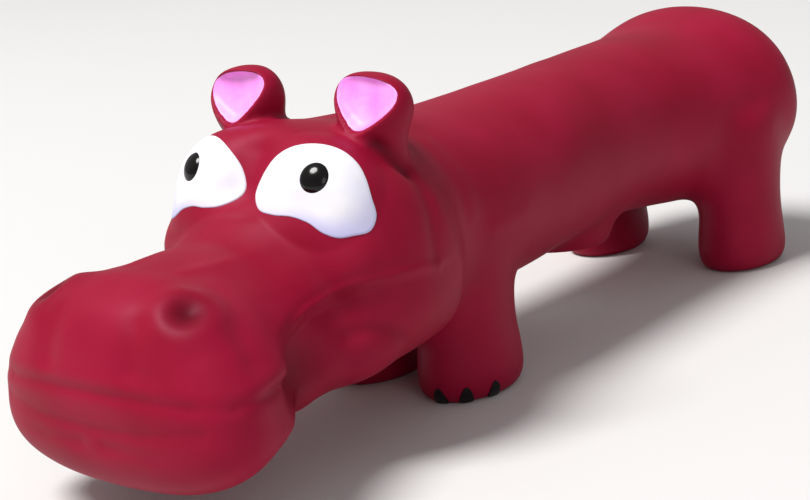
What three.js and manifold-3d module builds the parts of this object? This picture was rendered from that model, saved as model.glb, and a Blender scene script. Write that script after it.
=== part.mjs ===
// Squeaky hippo dog toy: a soft latex skin stuffed with fibre, with a reed squeaker in its belly.
// Millimetres, +Z up, the nose towards -Y, the toy's left towards +X, the soles on z = 0.
import * as THREE from "three";
import { mergeVertices } from "three/addons/utils/BufferGeometryUtils.js";
import Module from "manifold-3d";

const wasm = await Module();
wasm.setup();

// Lengths along the toy
const muzzleLength = 45; // nose tip to the foot of the forehead
const skullLength = 37; // from there to the crease behind the cheeks
const neckFoldLength = 8; // the moulded fold between that crease and the shoulders
const torsoLength = 142; // shoulders to the back of the rump
const overallLength = muzzleLength + skullLength + neckFoldLength + torsoLength;
const noseY = -overallLength / 2;
const bridgeY = noseY + muzzleLength;
const headBackY = bridgeY + skullLength;
const torsoFrontY = headBackY + neckFoldLength;
const rumpY = torsoFrontY + torsoLength;

// Skin, and the gaps between pieces
const skinWall = 2;
const seatGap = 0.3; // between pieces that touch on the toy
const turnGap = 0.5; // between pieces that turn against each other
const fillingEase = 3; // how far the head's stuffing keeps off the neck
const overrun = 1; // of a cutting solid past the face it cuts

// Trunk widths and heights
const rumpWidth = 62;
const rumpTop = 64.5;
const rumpBelly = 14.5;
const waistWidth = 45;
const waistTop = 61.5;
const waistBelly = 20;
const shoulderWidth = 50;
const shoulderTop = 61;
const shoulderBelly = 16.5;
const neckWidth = 49;
const neckTop = 64;
const neckBelly = 14.5;
const trunkMid = 39; // height of the torso's widest point
const hollowReach = 8; // cuts from above and below end this far from the torso's middle
const skullWidth = 64.5;
const skullTop = 66.5;
const skullBelly = 15.5;
const skullMid = 35;
const bridgeWidth = 47;
const bridgeTop = 49;
const bridgeBelly = 12.5;
const bridgeMid = 27;
const muzzleWidth = 66;
const muzzleTop = 47;
const muzzleBelly = 7.5;
const mouthHeight = 20.5; // height of the muzzle's widest point, where the mouth line runs
const muzzleLean = 3; // how far the muzzle's top lies behind its mouth line at the front

// Squareness of the trunk's sections above and below their widest point: 2 is round
const torsoFullness = { upper: 2.1, lower: 2 };
const skullFullness = { upper: 2.3, lower: 2.6 };
const muzzleFullness = { upper: 2.25, lower: 2.4 };

// Neck joint: two balls about one centre divide the trunk into torso, neck fold and head
const neckCentreSetback = 20; // from the torso's front edge back to the centre
const neckBallRadius = 32;
const neckCentre = new THREE.Vector3(0, torsoFrontY + neckCentreSetback, (neckTop + neckBelly) / 2);
const headBallRadius = neckBallRadius + neckFoldLength - 3 * turnGap;
const neckTurn = 12; // degrees that the neck turns to each side
const neckTurnSteps = 4; // to each side, in the clearance cut for it
const neckSweepGap = 3; // that the front legs keep from the head as it turns and nods

// Legs
const legSpread = { front: 13.3, rear: 21 }; // from the toy's middle plane to the leg's axis
const legSetback = { front: 6.4, rear: 114 }; // from the torso's front edge to the leg's axis
const legWidth = 20.2;
const legDepth = 26.8;
const soleInset = 2; // of the sole's edge from the leg's side
const hipHeight = 27.5; // centre about which a leg bends
const hipRadius = 20; // of the rounded end that the leg bends on
const legRootRise = 6; // of a leg's column into the torso, above the hip
const soleWall = 2.6;
const nailWidth = 3.4;
const nailHeight = 5;
const nailDepth = 3;
const nailCentre = 3; // above the floor
const nailCount = 3;
const nailStep = 32; // degrees between nails
const nailFacing = 40; // degrees outwards from straight ahead to the middle nail

// Ears
const earSpread = 17.2;
const earLead = 13.8; // ahead of the crease behind the cheeks
const earHeight = 14; // above the skin
const earWidth = 19;
const earDepth = 13;
const earBallRadius = 6.6;
const earBallDepth = 3; // centre of the ear's root below the skin
const earLift = 1.3; // bare gap that lets the ear fold
const earTilt = 6; // degrees outwards
const scoopWidth = 13.5;
const scoopHeight = 12.6;
const scoopDepth = 4.6;
const scoopInset = 0.6; // of the hollow's middle behind the ear's front
const scoopRise = 8.6; // of the hollow's middle above the skin
const liningWall = 0.8;
const liningInset = 0.2; // of the lining's edge from the ear's skin

// Eyes
const eyeSpread = 16.3;
const eyeLead = 18.2; // ahead of the ears
const eyeWidth = 26;
const eyeHeight = 19;
const eyeBulge = 1.6; // above the skin at its middle
const eyeDome = 4.6; // above the plane of its outer and inner corners
const pupilRadius = 3.4;
const pupilBulge = 0.9;
const pupilRise = 2.6; // above the middle of the eye

// Nostrils
const nostrilSpread = 18.8;
const nostrilSetback = 10.5;
const nostrilRimRadius = 6.5;
const nostrilRimBulge = 2.6;
const nostrilRadius = 3.2;
const nostrilDepth = 2.2; // below the rim's crown

// Back panel, the part of the skin that a squeeze presses in
const panelSetback = 62; // from the torso's front edge
const panelLength = 66;
const panelWidth = 28;

// Squeaker in the belly
const squeakerSetback = 62; // from the torso's front edge
const barrelRadius = 7.2;
const barrelWall = 1.2;
const barrelLength = 17;
const flangeRadius = 9.6;
const flangeThickness = 1.4;
const beadRise = 0.9; // bead that locks the barrel behind the skin
const beadLength = 1.2;
const portRadius = 2.5;
const collarRadius = 12;
const collarDrop = 1.4; // flat seat of the squeaker below the belly
const collarRise = 3.5; // flat top of the collar above the belly's inner side
const reedSeatLift = 1.2; // of the reed's seat above the flange
const reedSeatLength = 4;
const reedSlotWidth = 2.6;
const reedWidth = 3.6;
const reedLength = 8.4;
const reedThickness = 0.4;
const reedLap = 0.6; // of the reed's tip over the end of the slot
const clampLength = 2;
const clampHeight = 2.6;
const clampWall = 1.2;
const clampGap = 0.05; // between the clip's feet and the seat
const coverThickness = 1.2;
const spigotLength = 1.6;
const coverHoleRadius = 1;
const coverHoleCount = 5;
const coverHoleRing = 3.3; // radius of the circle that the holes lie on

// Fineness of the facets
const skinSegments = 24;
const skinStations = 34;
const innerSegments = 12;
const innerStations = 18;
const roundSegments = 16;
const earSegments = 12;
const hipSegments = 24;
const neckSegments = 24;
const nailSegments = 8;
const panelSegments = 20;
const bisections = 40;

// Finishes
const latex = { color: 0xa31f3a, roughness: 0.55, metalness: 0 };
const earPink = { color: 0xf48df6, roughness: 0.5, metalness: 0 };
const eyeWhitePaint = { color: 0xf7f4fa, roughness: 0.35, metalness: 0 };
const pupilBlack = { color: 0x0b0909, roughness: 0.12, metalness: 0 };
const nailBlack = { color: 0x120a0c, roughness: 0.4, metalness: 0 };
const fibre = { color: 0xf1efe8, roughness: 0.95, metalness: 0 };
const whitePlastic = { color: 0xe8e4d8, roughness: 0.4, metalness: 0 };
const reedFilm = { color: 0xd8c9a0, roughness: 0.3, metalness: 0 };

// Solids and meshes

function solidOf(geometry) {
  const bare = geometry.clone();
  bare.deleteAttribute("normal");
  bare.deleteAttribute("uv");
  const merged = mergeVertices(bare, 1e-4);
  return new wasm.Manifold(
    new wasm.Mesh({
      numProp: 3,
      vertProperties: merged.attributes.position.array,
      triVerts: new Uint32Array(merged.index.array),
    }),
  );
}

function meshOf(solid, name, finish) {
  const made = solid.getMesh();
  const geometry = new THREE.BufferGeometry();
  geometry.setAttribute("position", new THREE.BufferAttribute(made.vertProperties, 3));
  geometry.setIndex(new THREE.BufferAttribute(made.triVerts, 1));
  geometry.computeVertexNormals();
  const mesh = new THREE.Mesh(geometry, new THREE.MeshStandardMaterial(finish));
  mesh.name = name;
  return mesh;
}

function ball(radius, centre, segments = roundSegments) {
  const sphere = new THREE.SphereGeometry(radius, segments, segments / 2);
  return solidOf(sphere.translate(centre.x, centre.y, centre.z));
}

function block(low, high) {
  const size = new THREE.Vector3().subVectors(high, low);
  const centre = new THREE.Vector3().addVectors(low, high).multiplyScalar(0.5);
  const box = new THREE.BoxGeometry(size.x, size.y, size.z);
  return solidOf(box.translate(centre.x, centre.y, centre.z));
}

// An upright cylinder from one height to another.
function post(radius, x, y, bottom, top, segments = roundSegments) {
  const cylinder = new THREE.CylinderGeometry(radius, radius, top - bottom, segments);
  return solidOf(cylinder.rotateX(Math.PI / 2).translate(x, y, (bottom + top) / 2));
}

// A cylinder across the toy, about an axis parallel to X.
function roller(radius, centre) {
  const cylinder = new THREE.CylinderGeometry(radius, radius, 2 * legWidth, hipSegments);
  return solidOf(cylinder.rotateZ(Math.PI / 2).translate(centre.x, centre.y, centre.z));
}

// A solid of revolution about Z from (radius, height) pairs that start and end on the axis.
function turned(profile, segments = roundSegments) {
  const points = profile.map(([radius, height]) => new THREE.Vector2(radius, height));
  return new THREE.LatheGeometry(points, segments).rotateX(Math.PI / 2);
}

// The geometry with every vertex moved along its normal.
function grown(geometry, distance) {
  const bare = geometry.clone();
  bare.deleteAttribute("normal");
  bare.deleteAttribute("uv");
  const merged = mergeVertices(bare, 1e-4);
  merged.computeVertexNormals();
  const places = merged.attributes.position;
  const normals = merged.attributes.normal;
  for (let i = 0; i < places.count; i++) {
    places.setXYZ(
      i,
      places.getX(i) + normals.getX(i) * distance,
      places.getY(i) + normals.getY(i) * distance,
      places.getZ(i) + normals.getZ(i) * distance,
    );
  }
  return merged;
}

// Radius of the sphere whose cap has this footprint radius and height.
function capSphereRadius(footprint, height) {
  return (footprint * footprint + height * height) / (2 * height);
}

// Trunk: one loft from the rump to the nose

const rumpMid = (rumpTop + rumpBelly) / 2;

// A ring at a share of the torso's length behind the shoulders.
function torsoRing(share, width, back, belly, mid = trunkMid) {
  return { y: torsoFrontY + share * torsoLength, half: width / 2, back, belly, mid, ...torsoFullness };
}

// A ring of the rump, drawn in about its middle.
function rumpRing(share, draw) {
  const back = rumpMid + draw * (rumpTop - rumpMid);
  const belly = rumpMid - draw * (rumpMid - rumpBelly);
  return torsoRing(share, draw * rumpWidth, back, belly, rumpMid);
}

// A ring at a share of the skull's length ahead of the crease behind the cheeks.
function skullRing(share, width, back, belly, mid = skullMid) {
  return { y: headBackY - share * skullLength, half: width / 2, back, belly, mid, ...skullFullness };
}

// A ring at a share of the muzzle's length ahead of the forehead.
function muzzleRing(share, width, back, belly, mid = mouthHeight) {
  const y = bridgeY - share * muzzleLength;
  const lean = muzzleLean * Math.sin(Math.PI * share ** 2);
  return { y, half: width / 2, back, belly, mid, lean, ...muzzleFullness };
}

// A ring of the muzzle's blunt front, drawn in about the mouth line.
function noseRing(share, draw) {
  const back = mouthHeight + draw * (muzzleTop - mouthHeight);
  const belly = mouthHeight - draw * (mouthHeight - muzzleBelly);
  return muzzleRing(share, draw * muzzleWidth, back, belly);
}

const trunkRings = [
  rumpRing(1, 0),
  rumpRing(0.993, 0.4),
  rumpRing(0.96, 0.78),
  rumpRing(0.89, 1),
  torsoRing(0.75, rumpWidth - 7, rumpTop - 2.4, rumpBelly + 2),
  torsoRing(0.58, waistWidth + 1, waistTop + 0.4, waistBelly - 0.5),
  torsoRing(0.44, waistWidth, waistTop, waistBelly),
  torsoRing(0.23, shoulderWidth - 2, shoulderTop - 0.3, shoulderBelly + 1.3),
  torsoRing(0.09, shoulderWidth, shoulderTop, shoulderBelly),
  torsoRing(-neckFoldLength / 2 / torsoLength, neckWidth, neckTop, neckBelly),
  skullRing(0.18, skullWidth - 4, skullTop - 2, skullBelly + 1),
  skullRing(0.5, skullWidth, skullTop, skullBelly),
  skullRing(0.74, skullWidth - 3, skullTop - 1, skullBelly - 1),
  skullRing(0.88, (skullWidth + bridgeWidth) / 2 - 1, (skullTop + bridgeTop) / 2, bridgeBelly + 0.5),
  muzzleRing(0, bridgeWidth, bridgeTop, bridgeBelly, bridgeMid),
  muzzleRing(0.2, bridgeWidth + 2.5, muzzleTop - 0.5, bridgeBelly, bridgeMid - 2),
  muzzleRing(0.39, muzzleWidth - 9, muzzleTop - 0.5, muzzleBelly + 9.5),
  muzzleRing(0.58, muzzleWidth - 2, muzzleTop, muzzleBelly + 3.5),
  noseRing(0.78, 1),
  noseRing(0.92, 0.84),
  noseRing(0.988, 0.45),
  noseRing(1, 0),
];
// Smooth curves through the rings: place and middle, then size, then squareness.
function ringCurve(values) {
  const points = trunkRings.map((ring) => new THREE.Vector3(...values(ring)));
  return new THREE.CatmullRomCurve3(points, false, "catmullrom");
}
const placeCurve = ringCurve((ring) => [ring.y, ring.mid, 0]);
const sizeCurve = ringCurve((ring) => [ring.half, ring.back, ring.belly]);
const fullnessCurve = ringCurve((ring) => [ring.upper, ring.lower, ring.lean ?? 0]);

// The trunk's section a share t of the way from the rump's ring to the nose's.
function sectionAt(t) {
  const place = placeCurve.getPoint(t);
  const size = sizeCurve.getPoint(t);
  const fullness = fullnessCurve.getPoint(t);
  return {
    y: place.x,
    mid: place.y,
    half: Math.max(size.x, 0),
    back: size.y,
    belly: size.z,
    upper: fullness.x,
    lower: fullness.y,
    lean: fullness.z,
  };
}

function sectionPoint(section, angle) {
  const across = Math.cos(angle);
  const up = Math.sin(angle);
  const power = 2 / (up >= 0 ? section.upper : section.lower);
  const reach = up >= 0 ? section.back - section.mid : section.mid - section.belly;
  const rise = Math.sign(up) * Math.abs(up) ** power;
  return new THREE.Vector3(
    section.half * Math.sign(across) * Math.abs(across) ** power,
    section.y + section.lean * Math.max(rise, 0),
    section.mid + reach * rise,
  );
}

function trunkLoft(stations, segments) {
  const points = [new THREE.Vector3(0, rumpY, rumpMid)];
  for (let i = 1; i < stations; i++) {
    const section = sectionAt(i / stations);
    for (let j = 0; j < segments; j++) {
      points.push(sectionPoint(section, (2 * Math.PI * j) / segments));
    }
  }
  points.push(new THREE.Vector3(0, noseY, mouthHeight));
  const at = (i, j) => 1 + (i - 1) * segments + (j % segments);
  const faces = [];
  for (let j = 0; j < segments; j++) {
    faces.push(0, at(1, j + 1), at(1, j));
    for (let i = 1; i < stations - 1; i++) {
      faces.push(at(i, j), at(i, j + 1), at(i + 1, j + 1));
      faces.push(at(i, j), at(i + 1, j + 1), at(i + 1, j));
    }
    faces.push(at(stations - 1, j), at(stations - 1, j + 1), points.length - 1);
  }
  return new THREE.BufferGeometry().setFromPoints(points).setIndex(faces);
}

// Height of the trunk's upper skin over a point of the plan, and the skin's normal there.
function crownHeight(x, y) {
  let rear = 0;
  let front = 1;
  let height = 0;
  for (let i = 0; i < bisections; i++) {
    const middle = (rear + front) / 2;
    const section = sectionAt(middle);
    const share = Math.min(Math.abs(x) / section.half, 1);
    const rise = (1 - share ** section.upper) ** (1 / section.upper);
    height = section.mid + (section.back - section.mid) * rise;
    if (section.y + section.lean * rise > y) rear = middle;
    else front = middle;
  }
  return height;
}

function crownPoint(x, y) {
  return new THREE.Vector3(x, y, crownHeight(x, y));
}

function crownNormal(x, y) {
  const step = 1;
  const slopeX = (crownHeight(x + step, y) - crownHeight(x - step, y)) / (2 * step);
  const slopeY = (crownHeight(x, y + step) - crownHeight(x, y - step)) / (2 * step);
  return new THREE.Vector3(-slopeX, -slopeY, 1).normalize();
}

const trunkSkin = trunkLoft(skinStations, skinSegments);
const trunkLining = trunkLoft(innerStations, innerSegments);
const trunkOuter = solidOf(trunkSkin);
const trunkInner = solidOf(grown(trunkLining, -skinWall));
const trunkCore = solidOf(grown(trunkLining, -skinWall - seatGap));
const trunkCleared = solidOf(grown(trunkSkin, seatGap));

// Everything in front of the neck's centre, which the neck's two balls divide.
const far = overallLength;
const neckFront = block(
  new THREE.Vector3(-far, neckCentre.y - far, -far),
  new THREE.Vector3(far, neckCentre.y, far),
);
const torsoBall = ball(neckBallRadius, neckCentre, neckSegments);
const neckBallInside = ball(neckBallRadius + turnGap, neckCentre, neckSegments);
const neckBallOutside = ball(headBallRadius, neckCentre, neckSegments);
const headBall = ball(headBallRadius + turnGap, neckCentre, neckSegments);
const behindNeck = (solid) => solid.subtract(neckFront.subtract(torsoBall));
const neckShell = neckFront.intersect(neckBallOutside).subtract(neckBallInside);
const withinNeck = (solid) => solid.intersect(neckShell);
const aheadOfNeck = (solid) => solid.intersect(neckFront).subtract(headBall);

// Legs: columns whose upper end stays on the torso and whose lower end bends about the hip

const legs = [
  { name: "front_left", side: 1, end: "front" },
  { name: "front_right", side: -1, end: "front" },
  { name: "rear_left", side: 1, end: "rear" },
  { name: "rear_right", side: -1, end: "rear" },
];

function hipCentre(leg) {
  return new THREE.Vector3(leg.side * legSpread[leg.end], torsoFrontY + legSetback[leg.end], hipHeight);
}

// A leg's column, drawn in from its outer skin by an inset, from the given sole height upwards.
function legColumn(leg, inset, sole) {
  const hip = hipCentre(leg);
  const radius = legDepth / 2 - inset;
  const profile = [
    [0, sole],
    [radius - soleInset, sole],
    [radius - 0.7, sole + 1.6],
    [radius, sole + 4.6],
    [radius - 0.4, sole + 10],
    [radius - 0.6, hipHeight],
    [radius - 0.4, hipHeight + legRootRise],
    [0, hipHeight + legRootRise],
  ];
  const column = turned(profile).scale((legWidth / 2 - inset) / radius, 1, 1);
  return solidOf(column.translate(hip.x, hip.y, 0));
}

function legSkin(leg) {
  const hip = hipCentre(leg);
  const upper = block(new THREE.Vector3(-far, -far, hipHeight), new THREE.Vector3(far, far, far));
  return legColumn(leg, 0, 0)
    .subtract(legColumn(leg, skinWall, soleWall))
    .subtract(roller(hipRadius + turnGap, hip))
    .subtract(upper);
}

function nail(leg, index) {
  const hip = hipCentre(leg);
  const turn = THREE.MathUtils.degToRad(nailFacing + (index - (nailCount - 1) / 2) * nailStep);
  const bead = new THREE.SphereGeometry(1, nailSegments, nailSegments / 2);
  bead.scale(nailWidth / 2, nailDepth / 2, nailHeight / 2);
  bead.rotateZ(leg.side * turn);
  bead.translate(
    hip.x + (leg.side * Math.sin(turn) * legWidth) / 2,
    hip.y - (Math.cos(turn) * legDepth) / 2,
    nailCentre,
  );
  const ground = block(new THREE.Vector3(-far, -far, -far), new THREE.Vector3(far, far, seatGap));
  return solidOf(bead).subtract(legColumn(leg, -seatGap, 0)).subtract(ground);
}

// Squeaker, upright in the belly

const squeakerY = torsoFrontY + squeakerSetback;
const collarBottom = waistBelly - collarDrop;
const flangeTop = collarBottom - seatGap;
const barrelBottom = flangeTop - flangeThickness;
const barrelTop = barrelBottom + barrelLength;
const boreRadius = barrelRadius - barrelWall;
const seatBottom = flangeTop + reedSeatLift;
const seatTop = seatBottom + reedSeatLength;
const reedBottom = seatTop + seatGap;
const skinInside = waistBelly + skinWall + collarRise;
const squeakerAxis = (radius, bottom, top) => post(radius, 0, squeakerY, bottom, top);

function squeakerHousing() {
  const beadBottom = skinInside + seatGap;
  const bead = squeakerAxis(barrelRadius + beadRise, beadBottom, beadBottom + beadLength);
  return squeakerAxis(flangeRadius, barrelBottom, flangeTop)
    .add(squeakerAxis(barrelRadius, barrelBottom, barrelTop))
    .add(bead)
    .subtract(squeakerAxis(boreRadius, flangeTop, barrelTop + overrun))
    .subtract(squeakerAxis(portRadius, barrelBottom - overrun, flangeTop + overrun));
}

function reedSeat() {
  const slotHalf = reedSlotWidth / 2;
  const slot = block(
    new THREE.Vector3(-slotHalf, squeakerY - reedLength / 2 + reedLap, seatBottom - overrun),
    new THREE.Vector3(slotHalf, squeakerY + reedLength / 2 - clampLength - reedLap, seatTop + overrun),
  );
  return squeakerAxis(boreRadius - seatGap, seatBottom, seatTop).subtract(slot);
}

function reed() {
  return block(
    new THREE.Vector3(-reedWidth / 2, squeakerY - reedLength / 2, reedBottom),
    new THREE.Vector3(reedWidth / 2, squeakerY + reedLength / 2, reedBottom + reedThickness),
  );
}

// A bridge over the reed's root, standing on the seat at both sides of it.
function reedClamp() {
  const half = reedWidth / 2 + clampWall;
  const rear = squeakerY + reedLength / 2;
  const whole = block(
    new THREE.Vector3(-half, rear - clampLength, seatTop + clampGap),
    new THREE.Vector3(half, rear, seatTop + clampHeight),
  );
  const way = block(
    new THREE.Vector3(-reedWidth / 2 - seatGap, rear - clampLength - overrun, seatTop - overrun),
    new THREE.Vector3(reedWidth / 2 + seatGap, rear + overrun, reedBottom + reedThickness + seatGap),
  );
  return whole.subtract(way).intersect(squeakerAxis(boreRadius - seatGap, seatTop, barrelTop));
}

function squeakerCover() {
  const bottom = barrelTop + seatGap;
  let cover = squeakerAxis(barrelRadius, bottom, bottom + coverThickness).add(
    squeakerAxis(boreRadius - seatGap, barrelTop - spigotLength, bottom + clampGap),
  );
  for (let i = 0; i < coverHoleCount; i++) {
    const turn = (2 * Math.PI * i) / coverHoleCount;
    const hole = post(
      coverHoleRadius,
      Math.cos(turn) * coverHoleRing,
      squeakerY + Math.sin(turn) * coverHoleRing,
      barrelTop - spigotLength - overrun,
      bottom + coverThickness + overrun,
      innerSegments,
    );
    cover = cover.subtract(hole);
  }
  return cover;
}

// Torso: skin with hip stubs and a collar for the squeaker, the back panel, and the filling

const panelY = torsoFrontY + panelSetback;

function panelPrism(margin) {
  const oval = new THREE.Shape();
  oval.absellipse(0, 0, panelWidth / 2 + margin, panelLength / 2 + margin, 0, 2 * Math.PI);
  const prism = new THREE.ExtrudeGeometry(oval, {
    depth: far,
    bevelEnabled: false,
    curveSegments: panelSegments,
  });
  return solidOf(prism.translate(0, panelY, trunkMid + hollowReach));
}

// What the neck and head sweep as the neck turns, which the tops of the front legs keep clear of.
function neckSweep() {
  let swept = trunkCleared;
  for (let i = -neckTurnSteps; i <= neckTurnSteps; i++) {
    const swung = grown(trunkSkin, neckSweepGap).translate(-neckCentre.x, -neckCentre.y, 0);
    swung.rotateZ(THREE.MathUtils.degToRad((neckTurn * i) / neckTurnSteps));
    swept = swept.add(solidOf(swung.translate(neckCentre.x, neckCentre.y, 0)));
  }
  return swept.intersect(neckFront).subtract(torsoBall);
}

const neckRoom = neckSweep();
const collar = squeakerAxis(collarRadius, collarBottom, trunkMid - hollowReach);
let torsoOuter = behindNeck(trunkOuter).add(collar);
let torsoInner = trunkInner.subtract(squeakerAxis(collarRadius, 0, skinInside));
for (const leg of legs) {
  const hip = hipCentre(leg);
  const stub = (inset, radius) => legColumn(leg, inset, 0).intersect(roller(radius, hip));
  torsoOuter = torsoOuter.add(stub(0, hipRadius).subtract(neckRoom));
  torsoInner = torsoInner.add(stub(skinWall, hipRadius + overrun));
}
const squeakerHole = squeakerAxis(barrelRadius + seatGap, 0, skinInside + overrun);
const torsoShell = torsoOuter.subtract(torsoInner).subtract(squeakerHole);
const torsoSkin = torsoShell.subtract(panelPrism(seatGap));
const backPanel = torsoShell.intersect(panelPrism(0));
const squeakerRoom = squeakerAxis(
  barrelRadius + beadRise + seatGap,
  0,
  barrelTop + coverThickness + 3 * seatGap,
);
const collarRoom = squeakerAxis(collarRadius + seatGap, 0, skinInside + seatGap);
const torsoFilling = trunkCore
  .subtract(neckFront.subtract(ball(neckBallRadius, neckCentre)))
  .subtract(squeakerRoom)
  .subtract(collarRoom);

// Head: skin with raised nostrils, eyes, ears

const sides = [
  { name: "left", side: 1 },
  { name: "right", side: -1 },
];

function earRoot(side) {
  const place = crownPoint(side * earSpread, headBackY - earLead);
  const normal = crownNormal(side * earSpread, headBackY - earLead);
  return place.addScaledVector(normal, -earBallDepth);
}

// Moves a geometry made round the ear's root into its place on the head.
function onEar(geometry, side) {
  const root = earRoot(side);
  geometry.rotateY(side * THREE.MathUtils.degToRad(earTilt));
  return geometry.translate(root.x, root.y, root.z);
}

function earForm(inset) {
  const half = earWidth / 2 - inset;
  const top = earBallDepth + earHeight - inset;
  const profile = [
    [0, 0],
    [half * 0.66, 0],
    [half * 0.72, top * 0.2],
    [half * 0.9, top * 0.42],
    [half, top * 0.6],
    [half * 0.94, top * 0.76],
    [half * 0.7, top * 0.9],
    [half * 0.36, top * 0.98],
    [0, top],
  ];
  return turned(profile, earSegments).scale(1, (earDepth / 2 - inset) / half, 1);
}

// The ear's hollow: an egg pushed into its front, drawn in by an inset.
function earScoop(inset) {
  const egg = new THREE.SphereGeometry(1, earSegments, earSegments / 2);
  egg.scale(scoopWidth / 2 - inset, scoopDepth - inset, scoopHeight / 2 - inset);
  return egg.translate(0, scoopInset - earDepth / 2, earBallDepth + scoopRise);
}

function ear(side) {
  const leaf = solidOf(onEar(earForm(0), side)).subtract(solidOf(grown(trunkSkin, earLift)));
  return leaf.add(ball(earBallRadius, earRoot(side))).subtract(solidOf(onEar(earScoop(0), side)));
}

function earLining(side) {
  const film = solidOf(onEar(earScoop(seatGap), side)).subtract(
    solidOf(onEar(earScoop(seatGap + liningWall), side)),
  );
  return film.intersect(solidOf(onEar(earForm(liningInset), side)));
}

// A round dome on the trunk's upper skin: its crown stands proud of a point of the plan.
function domeOn(x, y, radius, proud) {
  const normal = crownNormal(x, y);
  const centre = crownPoint(x, y).addScaledVector(normal, proud - radius);
  return { normal, radius, centre };
}

function eyeDomeOn(side) {
  const radius = capSphereRadius(eyeWidth / 2, eyeDome);
  return domeOn(side * eyeSpread, headBackY - earLead - eyeLead, radius, eyeBulge);
}

// An oval column along the eye's axis that trims the dome to the eye's outline.
function eyeTrim(dome) {
  const column = new THREE.CylinderGeometry(0.5, 0.5, 2 * dome.radius, skinSegments);
  column.scale(eyeWidth, 1, eyeHeight).translate(0, dome.radius, 0);
  column.applyQuaternion(
    new THREE.Quaternion().setFromUnitVectors(new THREE.Vector3(0, 1, 0), dome.normal),
  );
  return solidOf(column.translate(dome.centre.x, dome.centre.y, dome.centre.z));
}

function eyeWhite(side) {
  const dome = eyeDomeOn(side);
  return ball(dome.radius, dome.centre, neckSegments).intersect(eyeTrim(dome)).subtract(trunkCleared);
}

function pupil(side) {
  const eye = eyeDomeOn(side);
  const rise = new THREE.Vector3(0, 0, 1).projectOnPlane(eye.normal).setLength(pupilRise);
  const outward = eye.normal.clone().multiplyScalar(eye.radius).add(rise).normalize();
  const radius = capSphereRadius(pupilRadius, pupilBulge);
  const crown = eye.centre.clone().addScaledVector(outward, eye.radius + seatGap);
  const centre = crown.addScaledVector(outward, pupilBulge - radius);
  return ball(radius, centre).subtract(ball(eye.radius + seatGap, eye.centre, neckSegments));
}

function nostrilDome(side) {
  const radius = capSphereRadius(nostrilRimRadius, nostrilRimBulge);
  return domeOn(side * nostrilSpread, noseY + nostrilSetback, radius, nostrilRimBulge);
}

function nostrilRim(side) {
  const dome = nostrilDome(side);
  return ball(dome.radius, dome.centre);
}

function nostrilPit(side) {
  const dome = nostrilDome(side);
  const radius = capSphereRadius(nostrilRadius, nostrilDepth);
  const reach = dome.radius + radius - nostrilDepth;
  return ball(radius, dome.centre.clone().addScaledVector(dome.normal, reach));
}

let headOuter = trunkOuter;
let headCore = trunkCore;
for (const { side } of sides) {
  headOuter = headOuter.add(nostrilRim(side)).subtract(nostrilPit(side));
}
let headSkin = aheadOfNeck(headOuter).subtract(trunkInner);
for (const { side } of sides) {
  headSkin = headSkin.subtract(ball(earBallRadius + turnGap, earRoot(side)));
  headCore = headCore.subtract(ball(earBallRadius + turnGap + seatGap, earRoot(side)));
}
const headFilling = headCore.intersect(neckFront).subtract(ball(headBallRadius + fillingEase, neckCentre));
const neckFold = withinNeck(trunkOuter).subtract(trunkInner);

// The toy

const toy = new THREE.Group();
toy.name = "squeaky_hippo";
const add = (solid, name, finish) => toy.add(meshOf(solid, name, finish));

add(torsoSkin, "torso_skin", latex);
add(backPanel, "back_panel", latex);
add(torsoFilling, "torso_filling", fibre);
add(neckFold, "neck_fold", latex);
add(headSkin, "head_skin", latex);
add(headFilling, "head_filling", fibre);
for (const { name, side } of sides) {
  add(ear(side), `ear_${name}`, latex);
  add(earLining(side), `ear_lining_${name}`, earPink);
  add(eyeWhite(side), `eye_white_${name}`, eyeWhitePaint);
  add(pupil(side), `pupil_${name}`, pupilBlack);
}
for (const leg of legs) {
  add(legSkin(leg), `leg_${leg.name}`, latex);
}
for (const leg of legs.filter((each) => each.end === "front")) {
  for (let i = 0; i < nailCount; i++) {
    add(nail(leg, i), `nail_${leg.name}_${i + 1}`, nailBlack);
  }
}
add(squeakerHousing(), "squeaker_housing", whitePlastic);
add(reedSeat(), "reed_seat", whitePlastic);
add(reed(), "reed", reedFilm);
add(reedClamp(), "reed_clamp", whitePlastic);
add(squeakerCover(), "squeaker_cover", whitePlastic);

export default toy;
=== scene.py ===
# Squeaky hippo dog toy: the looks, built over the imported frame. Lengths are millimetres until a mesh is made.
import math

import bpy
import numpy as np
from mathutils import Matrix, Vector


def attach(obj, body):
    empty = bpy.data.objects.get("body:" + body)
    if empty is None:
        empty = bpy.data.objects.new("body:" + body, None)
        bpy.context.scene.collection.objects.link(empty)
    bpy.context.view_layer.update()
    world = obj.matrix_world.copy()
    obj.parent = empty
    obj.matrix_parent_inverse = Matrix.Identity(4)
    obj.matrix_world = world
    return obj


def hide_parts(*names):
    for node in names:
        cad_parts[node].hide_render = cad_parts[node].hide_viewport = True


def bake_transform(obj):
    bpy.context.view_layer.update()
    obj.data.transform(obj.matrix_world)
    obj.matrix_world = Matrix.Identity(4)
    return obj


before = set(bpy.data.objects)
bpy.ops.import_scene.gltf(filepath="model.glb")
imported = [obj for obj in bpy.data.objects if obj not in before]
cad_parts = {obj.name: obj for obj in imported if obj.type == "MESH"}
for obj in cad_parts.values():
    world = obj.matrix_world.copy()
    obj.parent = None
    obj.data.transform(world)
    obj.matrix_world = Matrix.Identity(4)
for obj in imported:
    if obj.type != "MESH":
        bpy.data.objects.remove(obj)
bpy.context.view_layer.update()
mm = 0.001


# Numbers and curves
def smoothStep(value):
    t = np.clip(value, 0, 1)
    return t * t * (3 - 2 * t)


# A smooth rise from 0 at the first value to 1 at the second, or a fall where the second is the smaller.
def ramp(value, zeroAt, oneAt):
    return smoothStep((value - zeroAt) / (oneAt - zeroAt))


# A round hump, 1 at no distance and 0 from a distance of 1.
def mound(distance):
    return np.clip(1 - distance**2, 0, 1) ** 2


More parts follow.
